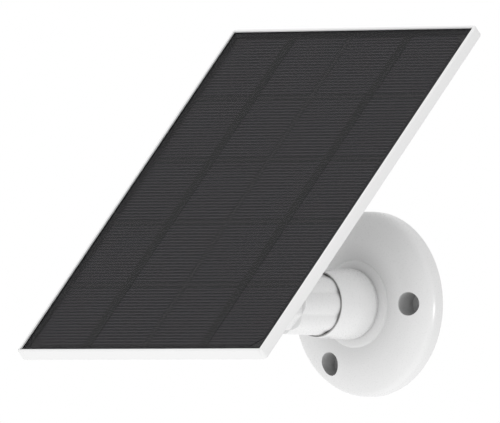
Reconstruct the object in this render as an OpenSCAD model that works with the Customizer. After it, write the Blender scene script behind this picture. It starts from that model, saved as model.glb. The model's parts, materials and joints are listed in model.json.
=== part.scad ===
// Small solar panel for an outdoor camera, on a round wall bracket that swivels, tilts and spins.
// The wall is the plane y = 0, the part stands out of it along -Y, and +Z is up. Millimetres.

/* [Wall base] */
// Diameter of the wall base
base_d = 71; // [66:1:80]
// Height of the straight rim next to the wall
base_rim_h = 3.8; // [3:0.1:5]
// Width of the domed shoulder, measured inwards from the rim
dome_run = 13; // [11:0.5:14]
// Rise of the domed shoulder above the rim
dome_rise = 7.2; // [6.6:0.1:9]
// Wall thickness of the hollow base
base_wall = 2.2; // [1.6:0.1:2.6]
// Rounding of the rim's edge at the wall
base_edge_r = 0.6; // [0.3:0.1:1]
// Diameter of the circle through the wall screws
screw_circle_d = 53; // [50:0.5:54]
// Diameter of the holes for the wall screws
screw_hole_d = 4.6; // [4:0.1:5.4]
// Diameter of the pockets for the wall screw heads
screw_head_d = 9; // [8:0.1:9.4]
// Thickness of plastic under the wall screw heads
screw_seat_t = 2.2; // [2:0.1:4.5]
// Diameter of the collar around the neck
collar_d = 32.4; // [30:0.2:35]
// Height of the straight edge of the collar
collar_edge_h = 0.7; // [0.4:0.1:1.5]
// Rise of the sloping top of the collar
collar_rise = 1.3; // [0.8:0.1:2]
// Thickness of the base floor that the swivel screw pulls against
base_floor_t = 2; // [1.6:0.1:2.6]
// Diameter of the hollow behind that floor
screw_well_d = 17; // [14:0.5:18]

/* [Neck sleeve] */
// Length of the neck sleeve in front of the collar
sleeve_len = 20; // [16:0.5:26]
// Diameter of the sleeve at the collar
sleeve_base_d = 27.4; // [26.8:0.1:28.4]
// Diameter of the sleeve at its mouth
sleeve_mouth_d = 26; // [25.6:0.1:27]
// Radius of the shoulder where the sleeve meets the collar
sleeve_round_r = 1.6; // [0.8:0.1:2]
// Wall of the thin lip at the mouth of the sleeve
lip_wall = 0.55; // [0.4:0.05:0.8]
// Depth of the mouth behind that lip
lip_depth = 3; // [2:0.5:5]
// Diameter of the tenon that seats the sleeve in the base
tenon_d = 21; // [20:0.5:22.5]
// Length of that tenon
tenon_len = 7; // [5:0.5:8]
// Width of the keys that stop the tenon from turning
key_w = 3; // [2:0.5:4]
// Height of those keys above the tenon
key_h = 1; // [0.6:0.1:1.4]

/* [Swivel arm] */
// Diameter of the spigot that turns in the sleeve
spigot_d = 16; // [14:0.5:17]
// Number of grip lobes around the arm
lobe_count = 8; // [6:2:12]
// Distance of the lobe centres from the axis of the arm
lobe_offset = 5; // [4:0.25:6]
// Taper of the grip, as the loss of its radius from the sleeve to the flats
lobe_taper = 0.5; // [0.2:0.1:0.8]
// Rounding out of the grooves between the lobes
groove_fill = 0.1; // [0.05:0.05:0.3]
// Length of the lobed grip in front of the sleeve
grip_len = 21.3; // [16:0.1:26]
// Slope of the run-out facets against the axis
facet_angle = 40; // [30:1:55]
// Distance from the end of the grip to the tilt pivot
fork_reach = 10.7; // [10.5:0.1:16]

/* [Swivel screw] */
// Thread diameter of the swivel screw
swivel_screw_d = 4; // [3:0.5:5]
// Head diameter of the swivel screw
swivel_head_d = 7.6; // [7:0.2:9]
// Head height of the swivel screw
swivel_head_h = 2.2; // [1.8:0.1:2.4]
// Depth of thread in the brass insert of the arm
swivel_thread_len = 9; // [6:0.5:12]
// Outer diameter of that insert
arm_insert_d = 6.4; // [5.8:0.2:8]
// Outer diameter of the flat washer
flat_washer_d = 12; // [10:0.5:13]
// Thickness of the flat washer
flat_washer_t = 0.8; // [0.5:0.1:1]
// Thickness of the spring washer
spring_washer_t = 0.6; // [0.4:0.1:0.7]
// Thickness of the wear ring between the sleeve and the arm
wear_ring_t = 0.8; // [0.5:0.1:1.5]

/* [Tilt hinge] */
// Angle of the panel back from upright
tilt_rest = 45; // [30:1:60]
// Thickness of the knuckle tongue
tongue_t = 8.6; // [7:0.2:9]
// Diameter of the knuckle tongue
tongue_d = 17.6; // [16:0.2:18.4]
// Diameter of the hinge bolt
bolt_d = 5; // [4:0.5:6]
// Head diameter of the hinge bolt
bolt_head_d = 8.4; // [7.5:0.1:9.5]
// Head height of the hinge bolt
bolt_head_h = 2.8; // [2:0.1:3]
// Width across the flats of the hinge nut
nut_flats = 8; // [7:0.5:9]
// Thickness of the hinge nut
nut_t = 2.7; // [2:0.1:3]
// Thickness of the friction washers beside the tongue
tilt_washer_t = 0.5; // [0.3:0.1:0.7]
// Diameter of the friction washers
tilt_washer_d = 15; // [12:0.5:16]
// Width of the knuckle neck
neck_w = 11; // [9:0.2:11]
// Diameter of the knuckle flange
flange_d = 17; // [15:0.5:19]
// Thickness of the knuckle flange
flange_t = 3; // [2:0.2:4]

/* [Mount stud] */
// Diameter of the stud that carries the panel
stud_d = 6.2; // [5:0.1:6.5]
// Length of the stud inside the knuckle
stud_root_len = 5.5; // [4:0.5:6]
// Length of bare stud between the flange and the lock ring
stud_gap_len = 3; // [1:0.5:6]
// Thickness of the lock ring
lock_ring_t = 5; // [4:0.5:8]
// Diameter of the lock ring
lock_ring_d = 19; // [16:0.5:22]
// Number of grip flutes around the lock ring
flute_count = 24; // [16:1:32]
// Diameter of those flutes
flute_d = 1.6; // [1:0.1:2]

/* [Solar panel] */
// Width of the panel
panel_w = 124; // [110:1:150]
// Height of the panel
panel_h = 176; // [160:1:210]
// Thickness of the panel at its edge
panel_t = 5; // [4.6:0.1:7]
// Radius of the panel corners
panel_corner_r = 1.5; // [1:0.5:5]
// Rounding of the panel edges
panel_edge_r = 0.6; // [0.3:0.1:0.8]
// Width of the white border around the glass
border_w = 1.6; // [1.4:0.1:3]
// Drop of the glass below the border
glass_drop = 0.3; // [0.1:0.1:0.6]
// Thickness of the cover glass
glass_t = 1; // [0.8:0.1:1.4]
// Thickness of the black bus ribbons
ribbon_t = 0.1; // [0.1:0.05:0.2]
// Width of the bus ribbons
ribbon_w = 4.2; // [2:0.2:6]
// Thickness of the solar cells
cell_t = 0.2; // [0.15:0.05:0.3]
// Gap between neighbouring solar cells
cell_gap = 1.2; // [0.6:0.1:2]
// Margin between the cells and the edge of the glass
cell_margin = 2; // [1:0.1:4]
// Chamfer on the four outer corners of the cell field
cell_chamfer = 5; // [2:0.5:8]
// Columns of solar cells
cell_columns = 2; // [1:1:4]
// Rows of solar cells
cell_rows = 5; // [3:1:8]
// Thickness of the bonding film behind the cells
film_t = 0.3; // [0.2:0.1:0.5]
// Thickness of the board that carries the cells
board_t = 0.8; // [0.6:0.1:1.2]
// Thickness of the tape that holds the board in the tray
tape_t = 0.3; // [0.2:0.1:0.5]
// Width of that tape
tape_w = 5; // [3:0.5:8]
// Depth of the hollows between the ribs at the back
hollow_depth = 0.8; // [0.4:0.1:1]
// Width of those ribs
rib_w = 2; // [1.5:0.1:3]
// Width of the plain band along the back edge
back_band_w = 5; // [4:0.5:8]

/* [Rear pod] */
// Distance of the stud below the middle of the panel
stud_drop = 25; // [15:1:30]
// Width of the pod
pod_w = 54; // [50:1:64]
// Length of the pod
pod_h = 60; // [58:1:70]
// Distance from the stud up to the middle of the pod
pod_shift = 14; // [12:0.5:16]
// Depth of the pod behind the panel
pod_t = 10; // [9:0.5:13]
// Wall of the pod
pod_wall = 2; // [1.6:0.1:2.4]
// Corner radius of the pod
pod_corner_r = 9; // [7:0.5:11]
// Rounding of the pod's back edge
pod_edge_r = 2.5; // [1.5:0.1:3]
// Inset of the pod screws from the sides of the pod
pod_screw_inset = 7; // [6.5:0.1:8]
// Thread diameter of the pod screws
pod_screw_d = 2.4; // [2:0.1:2.8]
// Head diameter of the pod screws
pod_screw_head_d = 4.8; // [4.2:0.1:5.4]
// Head height of the pod screws
pod_screw_head_h = 1.2; // [0.8:0.1:1.3]
// Length of thread of the pod screws
pod_screw_len = 7; // [5:0.5:8]
// Diameter of the posts that take the pod screws
post_d = 6; // [5:0.5:7]
// Thickness of the seal under the pod
seal_t = 1; // [0.8:0.1:1.2]
// Outer diameter of the brass insert for the stud
stud_insert_d = 9; // [8:0.5:10]
// Length of that insert
stud_insert_len = 8.5; // [6:0.5:9]
// Diameter of the boss around that insert
insert_boss_d = 14; // [12:0.5:16]
// Diameter of the cable hole in the grommet
cable_d = 3.5; // [2.5:0.1:3.6]
// Diameter of the grommet flange
grommet_d = 7.2; // [6.8:0.2:7.4]
// Thickness of the grommet flange
grommet_flange_t = 1.6; // [1:0.1:2.5]

/* [Charge board] */
// Width of the charge board
charge_w = 38; // [34:1:38]
// Length of the charge board
charge_h = 22; // [20:1:24]
// Thickness of the charge board
charge_t = 1.6; // [1:0.1:1.8]
// Height of the pegs under the charge board
peg_h = 2; // [1.5:0.1:2.5]
// Diameter of those pegs
peg_d = 3.6; // [3:0.2:4.4]
// Diameter of the leads from the cells
lead_d = 1.3; // [1:0.1:1.6]
// Distance between those leads
lead_pitch = 6; // [4:0.5:8]
// Width of the square regulator chip
chip_w = 5; // [4:0.5:6]
// Thickness of that chip
chip_t = 1; // [0.8:0.1:1.4]
// Width of the square power inductor
inductor_w = 7; // [5:0.5:8]
// Thickness of that inductor
inductor_t = 2.8; // [2:0.1:3.4]
// Diameter of the capacitor cans
capacitor_d = 4; // [3:0.5:4.5]
// Height of those cans
capacitor_h = 3.2; // [2.5:0.1:3.6]
// Length of the blocking diode
diode_w = 4.4; // [3.5:0.1:5]
// Thickness of that diode
diode_t = 1.8; // [1:0.1:2.4]
// Length of the output terminal
terminal_w = 7; // [5:0.5:8]
// Thickness of that terminal
terminal_t = 3; // [2:0.1:3.6]
// Gap between neighbouring parts on the board
part_gap = 1.5; // [1:0.1:2]

/* [Fits] */
// Radial clearance of turning fits
run_gap = 0.05; // [0.03:0.01:0.1]
// Radial clearance between fixed pieces
seat_gap = 0.1; // [0.05:0.05:0.15]
// Gap between moving faces
face_gap = 0.2; // [0.1:0.05:0.3]
// Open gap around moving pieces
open_gap = 0.35; // [0.3:0.05:0.5]

/* [Hidden] */
$fn = 64;
// Overlap of shapes that are joined, and reach of cuts past the faces that they open
eps = 0.02;
cut = 1;

// Wall base, by radius and by distance from the wall
base_r = base_d / 2;
dome_top = base_rim_h + dome_rise;

// The shoulder is a three-centre curve, and its arcs meet on the long side of a 3-4-5 triangle
join_way = [3 / 5, 4 / 5];
shoulder_r = 1.5 * dome_rise - dome_run / 2;
crown_r = 2 * dome_run - dome_rise;
shoulder_centre = [base_r - shoulder_r, base_rim_h];
crown_centre = [base_r - dome_run, dome_top - crown_r];

// Collar, screw bosses and webs
collar_r = collar_d / 2;
seat_out = dome_top + collar_edge_h + collar_rise;
floor_out = seat_out - tenon_len;
screw_angles = [0, 120, 240];
web_t = 1.6;
web_lift = 1;
screw_boss_d = screw_head_d + 2 * web_t;
socket_r = tenon_d / 2 + seat_gap;
hub_r = socket_r + key_h + base_wall;

// Neck sleeve
sleeve_base_r = sleeve_base_d / 2;
sleeve_mouth_r = sleeve_mouth_d / 2;
mouth_out = seat_out + sleeve_len;
lip_r = sleeve_mouth_r - lip_wall;
lip_floor_out = mouth_out - lip_depth;
spigot_bore_r = spigot_d / 2 + run_gap;
key_angles = [60, 180, 300];
key_foot = 1.5;
key_out = floor_out + key_foot;

// Swivel arm
shoulder_out = lip_floor_out + wear_ring_t + face_gap;
spigot_out = floor_out + open_gap;
grip_r = lip_r - open_gap;
lobe_r = grip_r - lobe_offset;
facet_out = mouth_out + grip_len;
half_lobe = 180 / lobe_count;
groove_r = lobe_offset * cos(half_lobe) + groove_fill
    + sqrt(pow(lobe_r, 2) - pow(lobe_offset * sin(half_lobe), 2));
taper_rate = lobe_taper / grip_r / (facet_out - shoulder_out);
flats_inset = 0.15;
flats_r = groove_r * (1 - lobe_taper / grip_r) - flats_inset;
flats_half = flats_r * cos(half_lobe);
flats_edge = 0.15;
groove_sides = 72;
pivot_out = facet_out + fork_reach;
slot_half = tongue_t / 2 + tilt_washer_t + face_gap;
slot_r = tongue_d / 2 + 2 * open_gap;
bolt_r = bolt_d / 2;
nut_r = nut_flats / 2 / cos(30);
bolt_short = 0.4;
bolt_tip = flats_half - bolt_short;
bolt_key_r = 0.7 * bolt_r;

// Swivel screw and its washers
screw_r = swivel_screw_d / 2;
floor_back = floor_out - base_floor_t;
flat_washer_out = floor_back - face_gap - flat_washer_t;
spring_washer_out = flat_washer_out - spring_washer_t;
swivel_head_out = spring_washer_out - swivel_head_h;
insert_room = 0.4;
recess_w = 1;
slit_w = 0.8;
slit_angle = 20;

// Knuckle and stud, measured from the pivot along the stud
flange_clear = 2.5 * open_gap;
flange_up = flats_half + flange_clear;
flange_top = flange_up + flange_t;
ring_up = flange_top + stud_gap_len;
pod_back_up = ring_up + lock_ring_t + face_gap;
stud_foot_up = flange_top - flange_t - stud_root_len;
stud_short = 2;
stud_tip_up = pod_back_up + stud_insert_len - stud_short;
face_up = pod_back_up + pod_t + panel_t;

// Panel layers, measured from the front face
pocket_w = panel_w - 2 * border_w;
pocket_h = panel_h - 2 * border_w;
glass_w = pocket_w - 2 * seat_gap;
glass_h = pocket_h - 2 * seat_gap;
glass_z = -glass_drop - glass_t;
ribbon_z = glass_z - ribbon_t;
cell_z = ribbon_z - cell_t;
film_z = cell_z - film_t;
board_z = film_z - board_t;
tray_z = board_z - tape_t;
field_w = glass_w - 2 * cell_margin;
field_h = glass_h - 2 * cell_margin;
cell_w = (field_w - (cell_columns - 1) * cell_gap) / cell_columns;
cell_h = (field_h - (cell_rows - 1) * cell_gap) / cell_rows;
back_z = -panel_t;
hollow_columns = 3;
hollow_rows = 4;
hollow_w = (panel_w - 2 * back_band_w - (hollow_columns - 1) * rib_w) / hollow_columns;
hollow_h = (panel_h - 2 * back_band_w - (hollow_rows - 1) * rib_w) / hollow_rows;
hollow_r = 2;
pad_w = 2;
tape_r = 1;
min_corner_r = 0.5;

// Rear pod, with the stud at the origin of x and y
pod_y = -stud_drop + pod_shift;
pod_back_z = back_z - pod_t;
pod_inner_z = pod_back_z + pod_wall;
post_x = pod_w / 2 - pod_screw_inset;
post_y = pod_h / 2 - pod_screw_inset;
pod_inner_r = 0.8;
crisp_r = 0.1;
seal_w = 1.2;
seal_inset = (pod_wall - seal_w) / 2;
pod_recess_w = 0.6;
pod_screw_seat_z = pod_back_z + pod_screw_head_h + face_gap;
cable_r = cable_d / 2;
grommet_lip = 1;
grommet_neck_r = grommet_d / 2 - grommet_lip;
grommet_inner_lip = 0.4;
grommet_inner_r = grommet_neck_r + grommet_inner_lip;
grommet_inner_t = 1.2;
grommet_z = (back_z + pod_back_z + pod_edge_r) / 2;

// Charge board
boss_clear = 4;
charge_y = -stud_drop + insert_boss_d / 2 + open_gap + charge_h / 2 + boss_clear;
charge_front_z = back_z - peg_h;
charge_back_z = charge_front_z - charge_t;
board_inset = 3;
lead_y = charge_y + charge_h / 2 - board_inset;
peg_x = charge_w / 2 - board_inset;
peg_y = charge_h / 2 - board_inset;

// Parts on the charge board, in an upper and a lower row that start at the left
diode_h = 2.6;
terminal_h = 5;
inductor_r = 1.4;
row_inset = 4;
row_start = row_inset - charge_w / 2;
upper_y = lead_y - part_gap - inductor_w / 2;
lower_y = upper_y - inductor_w / 2 - part_gap - terminal_h / 2;
capacitor_x = row_start + capacitor_d / 2;
capacitor_pitch = capacitor_d + part_gap;
chip_x = capacitor_x + capacitor_pitch + capacitor_d / 2 + part_gap + chip_w / 2;
inductor_x = chip_x + chip_w / 2 + part_gap + inductor_w / 2;
terminal_x = row_start + terminal_w / 2;
diode_x = terminal_x + terminal_w / 2 + part_gap + diode_w / 2;

// Places

// Distance from the wall becomes the local z axis
module out_of_wall() {
    rotate([90, 0, 0]) children();
}

// Local z runs along the stud, away from the tilt pivot
module at_pivot() {
    translate([0, -pivot_out, 0]) rotate([tilt_rest, 0, 0]) children();
}

// Local z points out of the front face, with its origin in the middle of that face
module on_panel() {
    at_pivot() translate([0, stud_drop, face_up]) children();
}

// Children at the four pod screws
module at_pod_screws() {
    for (sx = [-1, 1], sy = [-1, 1])
        translate([sx * post_x, pod_y + sy * post_y, 0]) children();
}

// Shared shapes

// A ring or tube along z
module tube(outer, inner, height) {
    difference() {
        cylinder(r = outer, h = height);
        translate([0, 0, -cut]) cylinder(r = inner, h = height + 2 * cut);
    }
}

// A plate with round corners, from z = 0 upwards
module round_plate(w, h, t, r) {
    linear_extrude(t) {
        square([w - 2 * r, h], center = true);
        square([w, h - 2 * r], center = true);
        for (sx = [-1, 1], sy = [-1, 1])
            translate([sx * (w / 2 - r), sy * (h / 2 - r)]) circle(r);
    }
}

// A flat frame with round corners, from z = 0 upwards
module round_frame(w, h, t, r, band) {
    difference() {
        round_plate(w, h, t, r);
        translate([0, 0, -cut])
            round_plate(w - 2 * band, h - 2 * band, t + 2 * cut, max(r - band, min_corner_r));
    }
}

// One corner of a slab, with its lower edge rounded by low and its upper edge by high
module slab_corner(t, r, low, high) {
    rotate_extrude($fn = 32) {
        translate([r - low, low]) circle(low, $fn = 24);
        translate([r - high, t - high]) circle(high, $fn = 24);
        square([r - max(low, high), t]);
    }
}

// A slab with round corners and rounded edges, from z = 0 upwards
module soft_slab(w, h, t, r, low, high) {
    hull() for (sx = [-1, 1], sy = [-1, 1])
        translate([sx * (w / 2 - r), sy * (h / 2 - r), 0]) slab_corner(t, r, low, high);
}

// A cross for a screwdriver, from z = -cut up to a depth
module cross_recess(span, width, depth) {
    for (a = [0, 90]) rotate(a)
        translate([-span / 2, -width / 2, -cut]) cube([span, width, depth + cut]);
}

// The outer half of a disc between two directions, which gives an outline one round side
module round_side(r, from, to) {
    intersection() {
        circle(r);
        polygon([r / 2 * from, 2 * r * from, 2 * r * (from + to), 2 * r * to, r / 2 * to]);
    }
}

// What a rounding takes off a corner that points to +x and -y, from where the rounding starts
module corner_waste(r) {
    difference() {
        translate([0, -cut]) square([r + cut, r + cut]);
        translate([0, r]) circle(r);
    }
}

// Half outline of the domed base, moved inwards by a wall
module dome_profile(wall) {
    rim = base_r - wall;
    top = dome_top - wall;
    join = shoulder_centre + (shoulder_r - wall) * join_way;
    polygon([[0, 0], [rim, 0], [rim, base_rim_h], join, [crown_centre.x, top], [0, top]]);
    translate(shoulder_centre) round_side(shoulder_r - wall, [1, 0], join_way);
    translate(crown_centre) round_side(crown_r - wall, join_way, [0, 1]);
}

// Wall base

module base_hub() {
    cylinder(r = hub_r, h = dome_top);
    for (a = screw_angles) {
        rotate(a) translate([screw_circle_d / 2, 0, 0]) cylinder(d = screw_boss_d, h = dome_top);
        rotate(a) translate([0, -web_t / 2, 0]) cube([base_r, web_t, dome_top]);
        rotate(a + 60) translate([0, -web_t / 2, web_lift]) cube([base_r, web_t, dome_top]);
    }
}

module base_collar() {
    rotate_extrude() polygon([
        [0, dome_top - base_wall], [collar_r, dome_top - base_wall], [collar_r, dome_top + collar_edge_h],
        [sleeve_base_r - sleeve_round_r, seat_out], [0, seat_out]
    ]);
}

module wall_base() {
    color("whitesmoke") out_of_wall() difference() {
        union() {
            difference() {
                rotate_extrude() difference() {
                    dome_profile(0);
                    translate([base_r - base_edge_r, 0]) corner_waste(base_edge_r);
                }
                translate([0, 0, -eps]) rotate_extrude() dome_profile(base_wall);
            }
            intersection() {
                rotate_extrude() dome_profile(base_wall / 2);
                base_hub();
            }
            base_collar();
        }
        for (a = screw_angles) rotate(a) translate([screw_circle_d / 2, 0, 0]) {
            translate([0, 0, -cut]) cylinder(d = screw_hole_d, h = seat_out);
            translate([0, 0, screw_seat_t]) cylinder(d = screw_head_d, h = seat_out);
        }
        translate([0, 0, floor_out]) cylinder(r = socket_r, h = tenon_len + cut);
        for (a = key_angles) rotate(a)
            translate([tenon_d / 2 - key_h, -key_w / 2 - seat_gap, key_out - seat_gap])
                cube([2 * key_h + seat_gap, key_w + 2 * seat_gap, tenon_len]);
        translate([0, 0, -cut]) cylinder(r = screw_r + open_gap, h = seat_out);
        translate([0, 0, -cut]) cylinder(d = screw_well_d, h = floor_back + cut);
    }
}

// Neck sleeve and wear ring

module sleeve_body() {
    foot_r = sleeve_base_r - sleeve_round_r;
    shoulder = seat_out + sleeve_round_r;
    rotate_extrude() {
        polygon([
            [0, seat_out], [foot_r, seat_out], [sleeve_base_r, shoulder],
            [sleeve_mouth_r, mouth_out], [0, mouth_out]
        ]);
        translate([foot_r, shoulder]) round_side(sleeve_round_r, [0, -1], [1, 0]);
    }
}

module neck_sleeve() {
    color("whitesmoke") out_of_wall() difference() {
        union() {
            sleeve_body();
            translate([0, 0, floor_out]) cylinder(d = tenon_d, h = tenon_len + cut);
            for (a = key_angles) rotate(a)
                translate([tenon_d / 2 - key_h, -key_w / 2, key_out])
                    cube([2 * key_h, key_w, seat_out - key_out + eps]);
        }
        translate([0, 0, floor_out - cut]) cylinder(r = spigot_bore_r, h = tenon_len + sleeve_len + 2 * cut);
        translate([0, 0, lip_floor_out]) cylinder(r = lip_r, h = lip_depth + cut);
    }
}

module wear_ring() {
    color("dimgray") out_of_wall() translate([0, 0, lip_floor_out])
        tube(lip_r - seat_gap, spigot_bore_r + open_gap, wear_ring_t);
}

// Swivel arm

// Outline of the grip where it leaves the sleeve
module lobe_outline() {
    circle(groove_r, $fn = groove_sides);
    for (i = [0 : lobe_count - 1]) rotate(360 * i / lobe_count)
        translate([lobe_offset, 0]) circle(lobe_r);
}

module arm_lobes() {
    length = facet_out - shoulder_out + cut;
    translate([0, 0, shoulder_out]) linear_extrude(length, scale = 1 - taper_rate * length) lobe_outline();
}

// Sloping cuts that lead from the lobes down to the flats
module facet_cuts() {
    for (i = [0 : lobe_count - 1]) rotate(360 * i / lobe_count)
        translate([flats_half, 0, facet_out]) rotate([0, -facet_angle, 0])
            translate([0, -base_r, -base_r]) cube([base_r, base_d, base_d]);
}

// Octagonal end with blunt corners, rounded about the tilt pivot
module arm_fork() {
    length = pivot_out + flats_half - shoulder_out;
    intersection() {
        translate([0, 0, shoulder_out]) rotate(half_lobe) cylinder(r = flats_r, h = length, $fn = lobe_count);
        translate([0, 0, shoulder_out - cut]) cylinder(r = flats_r - flats_edge, h = length + 2 * cut);
        union() {
            translate([-base_r, -base_r, 0]) cube([base_d, base_d, pivot_out]);
            translate([-base_r, 0, pivot_out]) rotate([0, 90, 0]) cylinder(r = flats_half, h = base_d);
        }
    }
}

module fork_slot() {
    translate([-slot_half, 0, pivot_out]) {
        rotate([0, 90, 0]) cylinder(r = slot_r, h = 2 * slot_half);
        translate([0, -base_r, 0]) cube([2 * slot_half, base_d, base_d]);
    }
}

module swivel_arm() {
    color("whitesmoke") out_of_wall() difference() {
        union() {
            translate([0, 0, spigot_out]) cylinder(d = spigot_d, h = shoulder_out - spigot_out + cut);
            difference() {
                arm_lobes();
                facet_cuts();
            }
            arm_fork();
        }
        fork_slot();
        translate([0, 0, spigot_out - cut])
            cylinder(d = arm_insert_d + 2 * seat_gap, h = swivel_thread_len + insert_room + 2 * cut);
        translate([-base_r, 0, pivot_out]) rotate([0, 90, 0])
            cylinder(r = bolt_r + seat_gap, h = base_d);
        translate([flats_half - bolt_head_h - face_gap, 0, pivot_out]) rotate([0, 90, 0])
            cylinder(d = bolt_head_d + 2 * seat_gap, h = base_d);
        translate([-flats_half - cut, 0, pivot_out]) rotate([0, 90, 0])
            cylinder(r = nut_r + seat_gap, h = nut_t + face_gap + cut, $fn = 6);
    }
}

module arm_insert() {
    color("goldenrod") out_of_wall() translate([0, 0, spigot_out])
        tube(arm_insert_d / 2, screw_r + run_gap, swivel_thread_len);
}

// Swivel screw and its washers

module swivel_screw() {
    color("silver") out_of_wall() difference() {
        union() {
            translate([0, 0, swivel_head_out]) cylinder(d = swivel_head_d, h = swivel_head_h);
            translate([0, 0, swivel_head_out])
                cylinder(r = screw_r, h = spigot_out + swivel_thread_len - swivel_head_out);
        }
        translate([0, 0, swivel_head_out]) cross_recess(swivel_head_d / 2, recess_w, swivel_head_h / 2);
    }
}

module flat_washer() {
    color("silver") out_of_wall() translate([0, 0, flat_washer_out])
        tube(flat_washer_d / 2, screw_r + seat_gap, flat_washer_t);
}

// Split ring, with the slit that lets it act as a spring
module spring_washer() {
    color("gray") out_of_wall() translate([0, 0, spring_washer_out]) difference() {
        tube(swivel_head_d / 2, screw_r + seat_gap, spring_washer_t);
        rotate(slit_angle) translate([0, -slit_w / 2, -cut])
            cube([swivel_head_d, slit_w, spring_washer_t + 2 * cut]);
    }
}

// Tilt hinge

module pivot_bolt() {
    head = flats_half - face_gap - bolt_head_h;
    color("silver") out_of_wall() translate([0, 0, pivot_out]) rotate([0, 90, 0]) difference() {
        union() {
            translate([0, 0, head]) cylinder(d = bolt_head_d, h = bolt_head_h);
            translate([0, 0, -bolt_tip]) cylinder(r = bolt_r, h = head + bolt_tip + eps);
        }
        translate([0, 0, head + bolt_head_h / 2]) cylinder(r = bolt_key_r, h = bolt_head_h, $fn = 6);
    }
}

module pivot_nut() {
    color("silver") out_of_wall() translate([-flats_half + face_gap, 0, pivot_out])
        rotate([0, 90, 0]) difference() {
            cylinder(r = nut_r, h = nut_t, $fn = 6);
            translate([0, 0, -cut]) cylinder(r = bolt_r + run_gap, h = nut_t + 2 * cut);
        }
}

module tilt_washers() {
    color("dimgray") out_of_wall() translate([0, 0, pivot_out]) rotate([0, 90, 0])
        for (side = [-1, 1])
            translate([0, 0, side * (slot_half - tilt_washer_t / 2) - tilt_washer_t / 2])
                tube(tilt_washer_d / 2, bolt_r + seat_gap, tilt_washer_t);
}

module tilt_knuckle() {
    color("whitesmoke") at_pivot() difference() {
        union() {
            intersection() {
                union() {
                    rotate([0, 90, 0]) cylinder(d = tongue_d, h = tongue_t, center = true);
                    cylinder(d = neck_w, h = flange_up + eps);
                }
                cube([tongue_t, base_d, base_d], center = true);
            }
            translate([0, 0, flange_up]) cylinder(d = flange_d, h = flange_t);
        }
        rotate([0, 90, 0]) cylinder(r = bolt_r + run_gap, h = base_d, center = true);
        translate([0, 0, stud_foot_up]) cylinder(d = stud_d + 2 * seat_gap, h = base_d);
    }
}

module mount_stud() {
    color("silver") at_pivot() translate([0, 0, stud_foot_up])
        cylinder(d = stud_d, h = stud_tip_up - stud_foot_up);
}

module lock_ring() {
    color("whitesmoke") at_pivot() translate([0, 0, ring_up]) difference() {
        tube(lock_ring_d / 2, stud_d / 2 + run_gap, lock_ring_t);
        for (i = [0 : flute_count - 1]) rotate(360 * i / flute_count)
            translate([lock_ring_d / 2, 0, -cut]) cylinder(d = flute_d, h = lock_ring_t + 2 * cut, $fn = 24);
    }
}

// Solar panel

module rear_hollows() {
    for (ix = [0 : hollow_columns - 1], iy = [0 : hollow_rows - 1])
        translate([
            -panel_w / 2 + back_band_w + hollow_w / 2 + ix * (hollow_w + rib_w),
            -panel_h / 2 + back_band_w + hollow_h / 2 + iy * (hollow_h + rib_w),
            back_z - cut
        ]) round_plate(hollow_w, hollow_h, hollow_depth + cut, hollow_r);
}

module panel_frame() {
    color("white") on_panel() {
        difference() {
            translate([0, 0, back_z])
                soft_slab(panel_w, panel_h, panel_t, panel_corner_r, panel_edge_r, panel_edge_r);
            translate([-pocket_w / 2, -pocket_h / 2, tray_z]) cube([pocket_w, pocket_h, panel_t]);
            difference() {
                rear_hollows();
                translate([0, pod_y, back_z - 2 * cut])
                    round_plate(pod_w + 2 * pad_w, pod_h + 2 * pad_w, panel_t, pod_corner_r + pad_w);
            }
            translate([0, lead_y, back_z]) cube([2 * lead_pitch, 4 * lead_d, panel_t], center = true);
        }
        difference() {
            at_pod_screws() translate([0, 0, pod_inner_z + face_gap])
                cylinder(d = post_d, h = back_z - pod_inner_z);
            at_pod_screws() translate([0, 0, pod_inner_z - cut])
                cylinder(d = pod_screw_d, h = pod_screw_len + cut);
        }
        for (sx = [-1, 1], sy = [-1, 1])
            translate([sx * peg_x, charge_y + sy * peg_y, charge_front_z])
                cylinder(d = peg_d, h = peg_h + face_gap);
    }
}

module cover_glass() {
    color([0.1, 0.1, 0.12, 0.3]) on_panel() translate([-glass_w / 2, -glass_h / 2, glass_z])
        cube([glass_w, glass_h, glass_t]);
}

module bus_ribbons() {
    color([0.15, 0.15, 0.15]) on_panel()
        for (ix = [0 : cell_columns - 1])
            translate([(cell_w - field_w - ribbon_w) / 2 + ix * (cell_w + cell_gap), -field_h / 2, ribbon_z])
                cube([ribbon_w, field_h, ribbon_t]);
}

// Outline of the whole field of cells, with its corners cut off
module cell_field() {
    x = field_w / 2;
    y = field_h / 2;
    c = cell_chamfer;
    polygon([
        [c - x, -y], [x - c, -y], [x, c - y], [x, y - c], [x - c, y], [c - x, y], [-x, y - c], [-x, c - y]
    ]);
}

module solar_cells() {
    color([0.2, 0.2, 0.22]) on_panel() translate([0, 0, cell_z]) linear_extrude(cell_t) intersection() {
        cell_field();
        for (ix = [0 : cell_columns - 1], iy = [0 : cell_rows - 1])
            translate([ix * (cell_w + cell_gap) - field_w / 2, iy * (cell_h + cell_gap) - field_h / 2])
                square([cell_w, cell_h]);
    }
}

module bonding_film() {
    color([0.12, 0.12, 0.12]) on_panel() translate([-glass_w / 2, -glass_h / 2, film_z])
        cube([glass_w, glass_h, film_t]);
}

module cell_board() {
    color([0.1, 0.1, 0.1]) on_panel() translate([-glass_w / 2, -glass_h / 2, board_z])
        cube([glass_w, glass_h, board_t]);
}

module bond_tape() {
    color("gainsboro") on_panel() translate([0, 0, tray_z])
        round_frame(glass_w, glass_h, tape_t, tape_r, tape_w);
}

// Rear pod

// The slabs of the pod's outside and of its hollow
module pod_slab(inset, floor_z, low) {
    translate([0, pod_y, floor_z])
        soft_slab(pod_w - 2 * inset, pod_h - 2 * inset, pod_t, pod_corner_r - inset, low, crisp_r);
}

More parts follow.
